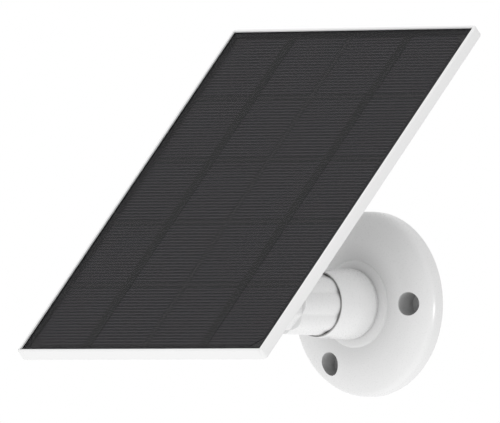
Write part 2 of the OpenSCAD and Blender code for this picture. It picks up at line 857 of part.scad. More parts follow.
// The loop of the seal, from the panel's back down into the pod
module seal_loop(t) {
    translate([0, pod_y, back_z - seal_t])
        round_frame(pod_w - 2 * seal_inset, pod_h - 2 * seal_inset, t, pod_corner_r - seal_inset, seal_w);
}

module rear_pod() {
    color("white") on_panel() difference() {
        union() {
            difference() {
                pod_slab(0, pod_back_z, pod_edge_r);
                pod_slab(pod_wall, pod_inner_z, pod_inner_r);
            }
            translate([0, -stud_drop, pod_back_z + pod_wall / 2])
                cylinder(d = insert_boss_d, h = pod_t - pod_wall / 2 - face_gap);
            at_pod_screws() translate([0, 0, pod_inner_z - eps]) cylinder(d = post_d, h = face_gap + eps);
        }
        translate([0, -stud_drop, pod_back_z - cut])
            cylinder(d = stud_insert_d + 2 * seat_gap, h = stud_insert_len + cut);
        at_pod_screws() translate([0, 0, pod_back_z - cut]) {
            cylinder(d = pod_screw_d + 2 * open_gap, h = pod_t);
            cylinder(d = pod_screw_head_d + 2 * seat_gap, h = pod_screw_head_h + face_gap + cut);
        }
        translate([0, pod_y - pod_h / 2 - cut, grommet_z]) rotate([-90, 0, 0])
            cylinder(r = grommet_neck_r + seat_gap, h = pod_wall + 2 * cut);
        seal_loop(seal_t + cut);
    }
}

module pod_seal() {
    color("dimgray") on_panel() seal_loop(seal_t);
}

module pod_screws() {
    color("silver") on_panel() at_pod_screws() difference() {
        union() {
            translate([0, 0, pod_screw_seat_z - pod_screw_head_h])
                cylinder(d = pod_screw_head_d, h = pod_screw_head_h);
            translate([0, 0, pod_screw_seat_z - eps])
                cylinder(d = pod_screw_d - 2 * run_gap, h = pod_screw_len);
        }
        translate([0, 0, pod_screw_seat_z - pod_screw_head_h])
            cross_recess(pod_screw_head_d / 2, pod_recess_w, pod_screw_head_h / 2);
    }
}

module stud_insert() {
    color("goldenrod") on_panel() translate([0, -stud_drop, pod_back_z])
        tube(stud_insert_d / 2, stud_d / 2 + run_gap, stud_insert_len);
}

module cable_grommet() {
    outer_y = pod_y - pod_h / 2;
    color("dimgray") on_panel() translate([0, outer_y, grommet_z]) rotate([-90, 0, 0]) difference() {
        union() {
            translate([0, 0, -grommet_flange_t]) cylinder(d = grommet_d, h = grommet_flange_t);
            translate([0, 0, -eps]) cylinder(r = grommet_neck_r, h = pod_wall + 2 * eps);
            translate([0, 0, pod_wall]) cylinder(r = grommet_inner_r, h = grommet_inner_t);
        }
        translate([0, 0, -grommet_flange_t - cut])
            cylinder(r = cable_r, h = grommet_flange_t + pod_wall + grommet_inner_t + 2 * cut);
    }
}

// Charge board and what is soldered to it

module charge_board() {
    color("darkgreen") on_panel() translate([-charge_w / 2, charge_y - charge_h / 2, charge_back_z])
        cube([charge_w, charge_h, charge_t]);
}

// Children at a place on the back of the charge board, with z pointing away from the panel
module on_charge_board(x, y) {
    on_panel() translate([x, y, charge_back_z]) mirror([0, 0, 1]) children();
}

module block(w, h, t) {
    translate([-w / 2, -h / 2, 0]) cube([w, h, t]);
}

module regulator_chip() {
    color("dimgray") on_charge_board(chip_x, upper_y) block(chip_w, chip_w, chip_t);
}

module power_inductor() {
    color("gray") on_charge_board(inductor_x, upper_y)
        round_plate(inductor_w, inductor_w, inductor_t, inductor_r);
}

module smoothing_capacitors() {
    color("silver") for (i = [0, 1])
        on_charge_board(capacitor_x + i * capacitor_pitch, upper_y)
            cylinder(d = capacitor_d, h = capacitor_h);
}

module blocking_diode() {
    color("dimgray") on_charge_board(diode_x, lower_y) block(diode_w, diode_h, diode_t);
}

module output_terminal() {
    color("ivory") on_charge_board(terminal_x, lower_y) block(terminal_w, terminal_h, terminal_t);
}

module cell_leads() {
    color("firebrick") on_panel() for (side = [-1, 1])
        translate([side * lead_pitch / 2, lead_y, charge_front_z])
            cylinder(d = lead_d, h = board_z - charge_front_z);
}

wall_base();
neck_sleeve();
wear_ring();
swivel_arm();
arm_insert();
swivel_screw();
flat_washer();
spring_washer();
pivot_bolt();
pivot_nut();
tilt_washers();
tilt_knuckle();
mount_stud();
lock_ring();
panel_frame();
cover_glass();
bus_ribbons();
solar_cells();
bonding_film();
cell_board();
bond_tape();
rear_pod();
pod_seal();
pod_screws();
stud_insert();
cable_grommet();
charge_board();
regulator_chip();
power_inductor();
smoothing_capacitors();
blocking_diode();
output_terminal();
cell_leads();
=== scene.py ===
"""Finishes, soft edges, threads and studio for a small solar panel on a swivelling wall bracket."""
import json
import math

import bmesh
import bpy
from bpy.props import FloatProperty, FloatVectorProperty, IntProperty, PointerProperty
from mathutils import Matrix, Vector


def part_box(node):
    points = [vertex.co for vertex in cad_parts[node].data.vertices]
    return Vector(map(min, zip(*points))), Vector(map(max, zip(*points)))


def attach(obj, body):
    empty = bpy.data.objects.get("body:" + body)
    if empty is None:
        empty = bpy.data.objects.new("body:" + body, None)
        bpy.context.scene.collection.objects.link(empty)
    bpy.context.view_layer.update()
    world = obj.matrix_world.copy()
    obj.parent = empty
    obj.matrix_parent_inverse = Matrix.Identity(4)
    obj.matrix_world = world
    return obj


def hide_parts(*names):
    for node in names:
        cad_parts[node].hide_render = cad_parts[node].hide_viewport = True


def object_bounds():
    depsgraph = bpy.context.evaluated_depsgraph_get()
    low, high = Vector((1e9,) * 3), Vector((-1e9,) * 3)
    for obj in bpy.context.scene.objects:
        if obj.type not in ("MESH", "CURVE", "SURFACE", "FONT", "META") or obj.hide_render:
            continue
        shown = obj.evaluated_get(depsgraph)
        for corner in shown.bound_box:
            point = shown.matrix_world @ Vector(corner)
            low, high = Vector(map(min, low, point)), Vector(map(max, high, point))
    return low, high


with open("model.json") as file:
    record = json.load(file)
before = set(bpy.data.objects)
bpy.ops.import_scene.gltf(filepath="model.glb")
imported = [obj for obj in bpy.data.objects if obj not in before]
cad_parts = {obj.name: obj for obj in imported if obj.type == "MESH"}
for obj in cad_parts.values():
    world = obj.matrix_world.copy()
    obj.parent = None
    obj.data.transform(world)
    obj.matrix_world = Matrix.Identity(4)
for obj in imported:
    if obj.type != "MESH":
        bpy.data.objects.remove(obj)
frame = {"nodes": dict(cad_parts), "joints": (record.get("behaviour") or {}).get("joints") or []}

bl_info = {
    "name": "Solar Panel on a Wall Bracket",
    "version": (1, 0, 0),
    "blender": (4, 5, 0),
    "location": "View3D > Sidebar > Solar Panel",
    "description": "Dresses the pieces of a small solar panel and its wall bracket",
    "category": "Object",
}

CAD_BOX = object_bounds()
MIDDLE = (CAD_BOX[0] + CAD_BOX[1]) / 2
MM = 0.001
CAD_WELD = 2e-6                      # points of a CAD mesh that are nearer than this are one
NEW_WELD = 1e-7                      # and so are these on a new mesh
SLIVER = 0.001 * MM                  # edges that rounding leaves shorter than this are merged
SNAP = 0.01 * MM                     # two measures of one place agree within this
FLAT = math.radians(0.4)             # triangles that lie flatter than this are one face
SHARP = math.radians(25)             # edges past this are rounded
SQUARE = 1.0                         # and on the lip only those past this, in radians
CRISP = math.radians(12)             # shading breaks here on pieces with large flat faces
SOFT = math.radians(38)              # and here on small and turned pieces
THREAD = math.radians(30)            # and here on the thread
ROUND, CHAMFER = 2, 1                # segments of a bevel
FACET_SLOPE = math.radians(40)       # of the run-out facets of the arm, in the CAD model
COLLAR_EDGE = 1.5 * MM               # the edge of the collar is lower than this
WHITE = (1.0, 1.0, 1.0, 1.0)

# Places that come from the frame

JOINTS = {joint["name"]: joint for joint in frame["joints"]}
PIVOT = Vector(JOINTS["panel_tilt"]["pos_m"])
STUD_WAY = Vector(JOINTS["panel_spin"]["axis"])
TILT = math.atan2(STUD_WAY.z, -STUD_WAY.y)
GLASS_LOW, GLASS_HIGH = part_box("cover_glass")

# Local z runs out of the wall, along the stud, and out of the front of the panel
OUT_OF_WALL = Matrix.Rotation(math.pi / 2, 4, "X")
ALONG_STUD = Matrix.Translation(PIVOT) @ Matrix.Rotation(TILT, 4, "X")
ON_PANEL = Matrix.Translation((GLASS_LOW + GLASS_HIGH) / 2) @ Matrix.Rotation(TILT, 4, "X")


def span(node, place):
    """Lowest and highest corner of a CAD node in the axes of a place."""
    back = place.inverted()
    points = [back @ v.co for v in frame["nodes"][node].data.vertices]
    low = Vector(min(p[i] for p in points) for i in range(3))
    high = Vector(max(p[i] for p in points) for i in range(3))
    return low, high


def round_points(node):
    """Radius and height out of the wall of every vertex of a CAD node."""
    back = OUT_OF_WALL.inverted()
    points = [back @ v.co for v in frame["nodes"][node].data.vertices]
    return [(math.hypot(p.x, p.y), p.z) for p in points]


def cell_grid():
    """Inner and outer edge of the right column of cells, top of the middle row and bottom of the next row."""
    back = ON_PANEL.inverted()
    points = [back @ v.co for v in frame["nodes"]["solar_cells"].data.vertices]
    across, up = (sorted({round(p[i], 5) for p in points if p[i] > 0.0}) for i in (0, 1))
    return across[0], across[-1], up[0], up[1]


# Settings

def length(name, text, default):
    return FloatProperty(name=name, description=text, default=default, min=0.0, unit="LENGTH", precision=5)


def colour(name, text, default):
    return FloatVectorProperty(
        name=name, description=text, default=default, size=3, min=0.0, max=1.0, subtype="COLOR"
    )


def number(name, text, default):
    return FloatProperty(name=name, description=text, default=default, min=0.0)


def factor(name, text, default):
    return FloatProperty(name=name, description=text, default=default, subtype="FACTOR")


def angle(name, text, degrees):
    return FloatProperty(name=name, description=text, default=math.radians(degrees), subtype="ANGLE")


def spot(name, text, default):
    return FloatVectorProperty(name=name, description=text, default=default, size=3, subtype="XYZ")


class FinishSettings(bpy.types.PropertyGroup):
    """Colours and surface detail of the pieces."""

    bracket_white: colour("Bracket white", "Satin plastic of the bracket", (0.76, 0.76, 0.76))
    panel_white: colour("Panel white", "Matt plastic of the panel frame and the rear pod", (0.8, 0.8, 0.8))
    cell_black: colour("Cell black", "Silicon between the finger lines", (0.0175, 0.017, 0.018))
    finger_grey: colour("Finger grey", "Fine lines printed across the cells", (0.066, 0.062, 0.067))
    ribbon_black: colour("Ribbon black", "Ribbons over the columns of cells", (0.021, 0.0205, 0.021))
    film_black: colour("Film black", "Film behind the cells", (0.034, 0.033, 0.034))
    print_black: colour("Print black", "Printed border of the cover glass", (0.026, 0.026, 0.027))
    glass_tint: colour("Glass tint", "Faint film on the cover glass", (0.02, 0.02, 0.022))
    glass_cover: factor("Glass cover", "Share of light that the clear glass holds back", 0.12)
    steel_grey: colour("Steel grey", "Bolts, nut, washers and stud", (0.62, 0.62, 0.63))
    brass_yellow: colour("Brass yellow", "Thread inserts", (0.72, 0.52, 0.22))
    rubber_grey: colour("Rubber grey", "Seal and grommet", (0.045, 0.045, 0.047))
    finger_pitch: length("Finger pitch", "Distance between the lines on the cells", 1.62 * MM)
    finger_width: length("Finger width", "Width of the lines on the cells", 0.55 * MM)
    finger_margin: length("Finger margin", "From the end of a line to the edge of its cell", 1.0 * MM)
    grain_size: length("Grain size", "Size of the grain of moulded plastic", 0.5 * MM)
    # Painted shade: these set how far from another surface, and how much, the bracket's colour is darkened in
    # corners and pockets.
    painted_shade_reach: length("Dust reach", "How near another surface dust gathers", 15 * MM)
    bracket_painted_shade: factor("Bracket dust", "How much the dust darkens the bracket's corners", 0.45)


class EdgeSettings(bpy.types.PropertyGroup):
    """Soft edges, small trims and the thread."""

    plastic_edge: length("Plastic edge", "Rounding of moulded edges", 0.22 * MM)
    metal_edge: length("Metal edge", "Rounding of turned and pressed metal", 0.18 * MM)
    glass_edge: length("Glass edge", "Chamfer round the cover glass", 0.15 * MM)
    lip_trim: length("Lip trim", "Slimming of the lip round the cover glass", 0.4 * MM)
    print_width: length("Print width", "Width of the printed border under the cover glass", 2.2 * MM)
    print_thickness: length("Print thickness", "Thickness of the printed border", 0.02 * MM)
    ring_room: length("Ring room", "Room between the arm and the rim of the wear ring", 0.02 * MM)
    mouth_depth: length("Mouth depth", "From the sleeve's mouth back to the rim of the wear ring", 0.4 * MM)
    facet_share: factor("Facet share", "Share of the run-out facets' length that is kept", 0.42)
    collar_lean: length("Collar lean", "How far the foot of the collar's edge stands out", 0.5 * MM)
    foot_share: factor("Foot share", "Share of the sleeve's rounded foot that meets the collar", 0.8)
    thread_pitch: length("Thread pitch", "Pitch of the thread on the stud", 1.0 * MM)
    thread_depth: length("Thread depth", "Depth of the thread on the stud", 0.45 * MM)
    round_steps: IntProperty(
        name="Round steps", description="Segments around a turned piece", default=64, min=16
    )


class StudioSettings(bpy.types.PropertyGroup):
    """Camera, light and floor."""

    azimuth: angle("Azimuth", "Angle of the camera round the wall", 41.5)
    elevation: angle("Elevation", "Height angle of the camera", -0.61)
    distance: length("Distance", "From the camera to the point it looks at", 7.416)
    lens: FloatProperty(
        name="Lens", description="Focal length in millimetres", default=1400.0, unit="CAMERA"
    )
    aim: spot("Aim", "Point that the camera looks at", (-0.00576, -0.0651, 0.0351))
    from_left: number("From the left", "Soft light from the left", 0.18)
    from_right: number("From the right", "Soft light from the right", 0.2)
    from_front: number("From the front", "Soft light from the front", 1.36)
    from_back: number("From the back", "Soft light from the wall's side", 0.1)
    from_above: number("From above", "Soft light from above", 1.4)
    from_below: number("From below", "Soft light from below", 1.6)
    rim_power: number("Rim power", "Power of the lamp that draws the highlight on the rim", 2.8)
    rim_way: spot("Rim way", "Where the rim lamp stands, from the object's middle", (0.95, 0.24, -0.14))
    rim_width: length("Rim width", "Width of the rim lamp", 0.16)
    rim_height: length("Rim height", "Height of the rim lamp", 0.14)
    floor_drop: length("Floor drop", "From the lowest point down to the floor", 0.045)
    floor_radius: length("Floor radius", "Radius of the floor", 0.5)
    fade_start: factor("Fade start", "Share of the floor's radius where it starts to fade", 0.35)
    fade_end: factor("Fade end", "Share of the floor's radius where it is clear", 0.98)


# Meshes

def add_piece(name, bm, body, slot, replaced=(), finish=None):
    """Makes a bmesh an object of the scene that rides on a body, in the finish of its slot or another."""
    mesh = bpy.data.meshes.new(name)
    bm.to_mesh(mesh)
    bm.free()
    piece = bpy.data.objects.new(name, mesh)
    bpy.context.scene.collection.objects.link(piece)
    mesh.materials.append(finish_of(finish or slot))
    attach(piece, body)
    if replaced:
        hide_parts(*replaced)


def add_soft_pieces(rows, crease):
    """Adds softened copies of CAD nodes, from rows of name, node, body, edge width and slot."""
    for name, node, body, width, slot in rows:
        add_piece(name, soften(merged_copy(node), width, crease), body, slot, [node])


def smooth(bm, sharp_angle):
    """Smooth shading, apart from edges that stay sharp."""
    for face in bm.faces:
        face.smooth = True
    for edge in bm.edges:
        edge.smooth = len(edge.link_faces) == 2 and edge.calc_face_angle(0.0) < sharp_angle


def merged_copy(node):
    """A copy of a CAD node's mesh with its triangles merged into flat faces."""
    bm = bmesh.new()
    bm.from_mesh(frame["nodes"][node].data)
    bmesh.ops.remove_doubles(bm, verts=bm.verts, dist=CAD_WELD)
    bmesh.ops.dissolve_limit(bm, angle_limit=FLAT, verts=bm.verts, edges=bm.edges)
    return bm


def runs(edges):
    """Splits edges into runs that hang together."""
    chosen, done = set(edges), set()
    for first in edges:
        if first in done:
            continue
        run, front = [], [first]
        done.add(first)
        while front:
            edge = front.pop()
            run.append(edge)
            for other in (e for v in edge.verts for e in v.link_edges if e in chosen and e not in done):
                done.add(other)
                front.append(other)
        yield run


def bevel(bm, edges, width, steps):
    """Rounds edges, or chamfers them in one step."""
    bmesh.ops.bevel(
        bm, geom=edges, offset=width, offset_type="OFFSET", segments=steps, profile=0.5,
        affect="EDGES", clamp_overlap=True, material=-1,
    )


def soften(bm, width, crease):
    """Rounds the sharp edges of a mesh run by run, so that a tight run doesn't slim the others."""
    edges = [e for e in bm.edges if len(e.link_faces) == 2 and e.calc_face_angle(0.0) > SHARP]
    for run in list(runs(edges)):
        bevel(bm, run, width, ROUND)
    bmesh.ops.remove_doubles(bm, verts=bm.verts, dist=SLIVER)
    bmesh.ops.dissolve_degenerate(bm, dist=SLIVER, edges=bm.edges)
    bmesh.ops.recalc_face_normals(bm, faces=bm.faces)
    smooth(bm, crease)
    return bm


def lathe(profile, steps):
    """A closed profile of (radius, height) points, turned once about z."""
    bm = bmesh.new()
    verts = [bm.verts.new((r, 0.0, z)) for r, z in profile]
    outline = [bm.edges.new(pair) for pair in zip(verts, verts[1:] + verts[:1])]
    bmesh.ops.spin(
        bm, geom=verts + outline, cent=(0, 0, 0), axis=(0, 0, 1), angle=2 * math.pi, steps=steps,
        use_merge=True,
    )
    bmesh.ops.remove_doubles(bm, verts=bm.verts, dist=NEW_WELD)
    bmesh.ops.recalc_face_normals(bm, faces=bm.faces)
    smooth(bm, SOFT)
    return bm


def box(low, high):
    """A closed box between two corners."""
    bm = bmesh.new()
    bmesh.ops.create_cube(bm, size=1.0)
    bmesh.ops.scale(bm, vec=high - low, verts=bm.verts)
    bmesh.ops.translate(bm, vec=(low + high) / 2, verts=bm.verts)
    return bm


def rectangle_sweep(half_w, half_h, profile):
    """A closed profile of (inset, height) points, carried round a rectangle with mitred corners."""
    bm = bmesh.new()
    corners = ((1, 1), (-1, 1), (-1, -1), (1, -1))
    loops = [[bm.verts.new((x * (half_w - inset), y * (half_h - inset), z)) for inset, z in profile]
             for x, y in corners]
    for here, there in zip(loops, loops[1:] + loops[:1]):
        for i in range(len(profile)):
            j = (i + 1) % len(profile)
            bm.faces.new((here[i], here[j], there[j], there[i]))
    bmesh.ops.recalc_face_normals(bm, faces=bm.faces)
    return bm


# Node trees

def put(tree, kind, inputs=None, **settings):
    """Adds a node, with its settings, and sets or links its inputs."""
    node = tree.nodes.new(kind)
    for key, value in settings.items():
        setattr(node, key, value)
    for key, value in (inputs or {}).items():
        if isinstance(value, bpy.types.NodeSocket):
            tree.links.new(value, node.inputs[key])
        else:
            node.inputs[key].default_value = value
    return node


def new_group(name, inputs, outputs):
    """An empty shader node group with named float and vector sockets."""
    tree = bpy.data.node_groups.new(name, "ShaderNodeTree")
    for key, kind, value in inputs:
        socket = tree.interface.new_socket(name=key, in_out="INPUT", socket_type=kind)
        if value is not None:
            socket.default_value = value
    for key, kind in outputs:
        tree.interface.new_socket(name=key, in_out="OUTPUT", socket_type=kind)
    return tree, put(tree, "NodeGroupInput").outputs, put(tree, "NodeGroupOutput").inputs


def grain_group():
    """Fine grain of a moulded surface, with a slow drift of tone."""
    tree, inputs, outputs = new_group(
        "moulded_grain",
        [("Vector", "NodeSocketVector", None), ("Scale", "NodeSocketFloat", 2000.0)],
        [("Height", "NodeSocketFloat"), ("Tone", "NodeSocketFloat")],
    )
    fine = put(tree, "ShaderNodeTexNoise", {
        "Vector": inputs["Vector"], "Scale": inputs["Scale"], "Detail": 2.0,
    })
    slow = put(tree, "ShaderNodeMath", {0: inputs["Scale"], 1: 0.02}, operation="MULTIPLY")
    drift = put(tree, "ShaderNodeTexNoise", {
        "Vector": inputs["Vector"], "Scale": slow.outputs[0], "Detail": 3.0,
    })
    tree.links.new(fine.outputs["Fac"], outputs["Height"])
    tree.links.new(drift.outputs["Fac"], outputs["Tone"])
    return tree


def painted_shade_group():
    """Painted shade: a mask that is 1 on open surfaces and falls in corners and pockets, to darken the colour
    where shade falls.
    """
    tree, inputs, outputs = new_group(
        "painted_corner_shade",
        [("Reach", "NodeSocketFloat", 0.01), ("Depth", "NodeSocketFloat", 0.3)],
        [("Unshaded", "NodeSocketFloat")],
    )
    open_sky = put(tree, "ShaderNodeAmbientOcclusion", {"Distance": inputs["Reach"]}, samples=16)
    least = put(tree, "ShaderNodeMath", {0: 1.0, 1: inputs["Depth"]}, operation="SUBTRACT")
    unshaded = put(tree, "ShaderNodeMapRange", {
        "Value": open_sky.outputs["AO"], "From Min": 0.25, "From Max": 0.95,
        "To Min": least.outputs[0], "To Max": 1.0,
    })
    tree.links.new(unshaded.outputs["Result"], outputs["Unshaded"])
    return tree


def brushed_group():
    """Fine turning marks, drawn out along one axis."""
    tree, inputs, outputs = new_group(
        "turning_marks",
        [("Vector", "NodeSocketVector", None), ("Scale", "NodeSocketFloat", 3000.0)],
        [("Height", "NodeSocketFloat"), ("Roughness", "NodeSocketFloat")],
    )
    drawn = put(tree, "ShaderNodeMapping", {"Vector": inputs["Vector"], "Scale": (1.0, 0.06, 1.0)})
    marks = put(tree, "ShaderNodeTexNoise", {
        "Vector": drawn.outputs[0], "Scale": inputs["Scale"], "Detail": 4.0,
    })
    rough = put(tree, "ShaderNodeMapRange", {"Value": marks.outputs["Fac"], "To Min": 0.2, "To Max": 0.42})
    tree.links.new(marks.outputs["Fac"], outputs["Height"])
    tree.links.new(rough.outputs["Result"], outputs["Roughness"])
    return tree


def lines_group():
    """Soft lines across one axis, as a mask."""
    tree, inputs, outputs = new_group(
        "ruled_lines",
        [
            ("Along", "NodeSocketFloat", 0.0),
            ("Pitch", "NodeSocketFloat", 0.001),
            ("Width", "NodeSocketFloat", 0.0003),
        ],
        [("Mask", "NodeSocketFloat")],
    )
    share = put(tree, "ShaderNodeMath", {0: inputs["Width"], 1: inputs["Pitch"]}, operation="DIVIDE")
    half = put(tree, "ShaderNodeMath", {0: share.outputs[0], 1: 0.5}, operation="MULTIPLY")
    turns = put(tree, "ShaderNodeMath", {0: inputs["Along"], 1: inputs["Pitch"]}, operation="DIVIDE")
    doubled = put(tree, "ShaderNodeMath", {0: turns.outputs[0], 1: 0.5}, operation="PINGPONG")
    mask = put(tree, "ShaderNodeMapRange", {
        "Value": doubled.outputs[0], "From Min": half.outputs[0], "From Max": 0.0,
        "To Min": 0.0, "To Max": 1.0,
    }, interpolation_type="SMOOTHSTEP")
    tree.links.new(mask.outputs["Result"], outputs["Mask"])
    return tree


def group_node(tree, group, inputs):
    """Puts a node group into a tree and hands back its outputs."""
    return put(tree, "ShaderNodeGroup", inputs, node_tree=group).outputs


# Materials

GROUPS = {}


def shared_group(make):
    """Builds a node group once and hands out the same one later."""
    if make.__name__ not in GROUPS:
        GROUPS[make.__name__] = make()
    return GROUPS[make.__name__]


def new_material(name, **constants):
    """A material with one Principled shader, whose plain values are set on its own sockets."""
    material = bpy.data.materials.new(name)
    material.use_nodes = True
    tree = material.node_tree
    shader = next(n for n in tree.nodes if n.type == "BSDF_PRINCIPLED")
    for key, value in constants.items():
        shader.inputs[key.replace("_", " ")].default_value = value
    return material, tree, shader


def set_bump(tree, shader, height, strength, distance):
    """Gives a shader a bump from a height."""
    bump = put(tree, "ShaderNodeBump", {"Height": height, "Strength": strength, "Distance": distance})
    tree.links.new(bump.outputs["Normal"], shader.inputs["Normal"])


def mixed(tree, mask, first, second):
    """A colour that runs from one to another with a mask; a Mix node's colours are its sockets 6 and 7."""
    return put(tree, "ShaderNodeMix", {0: mask, 6: first, 7: second}, data_type="RGBA").outputs[2]


def tinted(tree, mask, dark, light):
    """A colour that runs between two plain tones with a mask."""
    return mixed(tree, mask, (*dark, 1.0), (*light, 1.0))


def scaled(rgb, times):
    """A colour made lighter or darker, up to white."""
    return tuple(min(1.0, c * times) for c in rgb)


def moulded(name, rgb, roughness, grain, bump, drift=0.03, painted_shade=None, **constants):
    """Moulded plastic, rubber or laminate: slow drift of tone, painted shade in corners, fine grain and
    uneven gloss.

    Painted shade is a pair: how far it reaches from another surface and how much it darkens a corner.
    """
    material, tree, shader = new_material(name, **constants)
    place = put(tree, "ShaderNodeTexCoord").outputs["Object"]
    marks = group_node(tree, shared_group(grain_group), {"Vector": place, "Scale": 1.0 / grain})
    tone = tinted(tree, marks["Tone"], scaled(rgb, 1 - drift), scaled(rgb, 1 + drift))
    # Painted shade: an ambient-occlusion mask darkens the colour in corners and pockets.
    if painted_shade:
        reach, depth = painted_shade
        unshaded = group_node(tree, shared_group(painted_shade_group), {"Reach": reach, "Depth": depth})["Unshaded"]
        tone = put(tree, "ShaderNodeVectorMath", {0: tone, "Scale": unshaded}, operation="SCALE").outputs[0]
    tree.links.new(tone, shader.inputs["Base Color"])
    gloss = put(tree, "ShaderNodeMapRange", {
        "Value": marks["Height"], "To Min": roughness * 0.9, "To Max": roughness * 1.1,
    })
    tree.links.new(gloss.outputs["Result"], shader.inputs["Roughness"])
    set_bump(tree, shader, marks["Height"], bump, 0.05 * grain)
    return material


def turned_metal(name, rgb):
    """Turned or pressed metal with fine marks."""
    material, tree, shader = new_material(name, Metallic=1.0)
    place = put(tree, "ShaderNodeTexCoord").outputs["Object"]
    marks = group_node(tree, shared_group(brushed_group), {"Vector": place})
    tone = tinted(tree, marks["Height"], scaled(rgb, 0.9), scaled(rgb, 1.1))
    tree.links.new(tone, shader.inputs["Base Color"])
    tree.links.new(marks["Roughness"], shader.inputs["Roughness"])
    set_bump(tree, shader, marks["Height"], 0.15, 0.02 * MM)
    return material


def panel_axes(tree):
    """Coordinates across and up the panel, from its middle."""
    place = put(tree, "ShaderNodeTexCoord").outputs["Object"]
    back = ON_PANEL.inverted()
    turned = put(tree, "ShaderNodeMapping", {
        "Vector": place, "Location": back.to_translation(), "Rotation": back.to_euler(),
    })
    return put(tree, "ShaderNodeSeparateXYZ", {0: turned.outputs[0]}).outputs, turned.outputs[0]


def near(tree, value, middle, reach):
    """A mask that is 1 within a reach of a middle value."""
    return put(tree, "ShaderNodeMath", {0: value, 1: middle, 2: reach}, operation="COMPARE").outputs[0]


def cell_material(finish):
    """Silicon with fine printed lines that stop short of the cell edges, and a faint play of colour."""
    material, tree, shader = new_material("silicon", Roughness=0.42, Specular_IOR_Level=0.08)
    (across, up, _), place = panel_axes(tree)
    lines = group_node(tree, shared_group(lines_group), {
        "Along": up, "Pitch": finish.finger_pitch, "Width": finish.finger_width,
    })["Mask"]
    inner, outer, row_top, next_row = cell_grid()
    side = put(tree, "ShaderNodeMath", {0: across}, operation="ABSOLUTE").outputs[0]
    column = near(tree, side, (inner + outer) / 2, (outer - inner) / 2 - finish.finger_margin)
    half_pitch = (row_top + next_row) / 2
    row_up = put(tree, "ShaderNodeMath", {0: up, 1: half_pitch, 2: -half_pitch}, operation="WRAP").outputs[0]
    row = near(tree, row_up, 0.0, row_top - finish.finger_margin)
    for mask in (column, row):
        lines = put(tree, "ShaderNodeMath", {0: lines, 1: mask}, operation="MULTIPLY").outputs[0]
    patches = put(tree, "ShaderNodeTexNoise", {"Vector": place, "Scale": 90.0, "Detail": 3.0}).outputs["Fac"]
    warm, cool = (1.06, 0.98, 1.0), (0.95, 1.01, 1.07)
    tones = []
    for rgb in (finish.cell_black, finish.finger_grey):
        tones.append(tinted(tree, patches, *([c * t for c, t in zip(rgb, tint)] for tint in (warm, cool))))
    tree.links.new(mixed(tree, lines, *tones), shader.inputs["Base Color"])
    set_bump(tree, shader, lines, 0.2, 0.02 * MM)
    return material


def glass_material(finish):
    """Clear cover glass with a faint film and slow waves on its outer face."""
    material, tree, shader = new_material(
        "clear_glass", Base_Color=(*finish.glass_tint, 1.0), Specular_IOR_Level=0.3,
    )
    inside = put(tree, "ShaderNodeNewGeometry").outputs["Backfacing"]
    cover = put(tree, "ShaderNodeMapRange", {"Value": inside, "To Min": finish.glass_cover, "To Max": 0.0})
    tree.links.new(cover.outputs["Result"], shader.inputs["Alpha"])
    place = put(tree, "ShaderNodeTexCoord").outputs["Object"]
    waves = put(tree, "ShaderNodeTexNoise", {"Vector": place, "Scale": 60.0, "Detail": 1.0})
    gloss = put(tree, "ShaderNodeMapRange", {"Value": waves.outputs["Fac"], "To Min": 0.16, "To Max": 0.24})
    tree.links.new(gloss.outputs["Result"], shader.inputs["Roughness"])
    set_bump(tree, shader, waves.outputs["Fac"], 0.02, 0.1 * MM)
    return material


def make_materials(finish):
    """Every finish of the object, by the name of its slot."""
    grain = finish.grain_size
    # Painted shade: the bracket's colour is darkened in corners and pockets by an ambient-occlusion mask.
    painted_shade = (finish.painted_shade_reach, finish.bracket_painted_shade)
    dull = {"Specular_IOR_Level": 0.08}
    return {
        "bracket_plastic": moulded("bracket_plastic", finish.bracket_white, 0.28, grain, 0.06, 0.012, painted_shade),
        "panel_plastic": moulded("panel_plastic", finish.panel_white, 0.5, grain, 0.12, 0.012),
        "steel": turned_metal("steel", finish.steel_grey),
        "brass": turned_metal("brass", finish.brass_yellow),
        "friction_plastic": moulded("friction_plastic", (0.6, 0.6, 0.58), 0.5, grain, 0.2),
        "clear_glass": glass_material(finish),
        "silicon": cell_material(finish),
        "black_ribbon": moulded("black_ribbon", finish.ribbon_black, 0.5, grain, 0.1, **dull),
        "black_film": moulded("black_film", finish.film_black, 0.55, grain, 0.1, **dull),
        "black_print": moulded(
            "black_print", finish.print_black, 0.5, grain, 0.1, Specular_IOR_Level=0.05,
        ),
        "cell_laminate": moulded("cell_laminate", (0.05, 0.05, 0.05), 0.6, grain, 0.25),
        "white_tape": moulded("white_tape", (0.8, 0.8, 0.78), 0.7, grain, 0.3),
        "seal_rubber": moulded("seal_rubber", finish.rubber_grey, 0.6, grain, 0.25),
        "circuit_laminate": moulded("circuit_laminate", (0.02, 0.16, 0.06), 0.4, grain, 0.15, 0.1),
        "chip_plastic": moulded("chip_plastic", (0.03, 0.03, 0.032), 0.45, grain, 0.2),
        "ferrite": moulded("ferrite", (0.12, 0.12, 0.125), 0.55, grain, 0.35, 0.08),
        "capacitor_can": turned_metal("capacitor_can", (0.78, 0.78, 0.8)),
        "terminal_plastic": moulded("terminal_plastic", (0.75, 0.72, 0.62), 0.45, grain, 0.15),
        "lead_insulation": moulded("lead_insulation", (0.45, 0.05, 0.04), 0.4, grain, 0.1),
    }


# CAD nodes that keep their own shape, by finish
FINISHES = {
    "steel": ("flat_washer", "spring_washer"),
    "brass": ("arm_insert", "stud_insert"),
    "friction_plastic": ("tilt_washers",),
    "silicon": ("solar_cells",),
    "black_ribbon": ("bus_ribbons",),
    "black_film": ("bonding_film",),
    "cell_laminate": ("cell_board",),
    "white_tape": ("bond_tape",),
    "seal_rubber": ("pod_seal",),
    "circuit_laminate": ("charge_board",),
    "chip_plastic": ("regulator_chip", "blocking_diode"),
    "ferrite": ("power_inductor",),
    "capacitor_can": ("smoothing_capacitors",),
    "terminal_plastic": ("output_terminal",),
    "lead_insulation": ("cell_leads",),
}


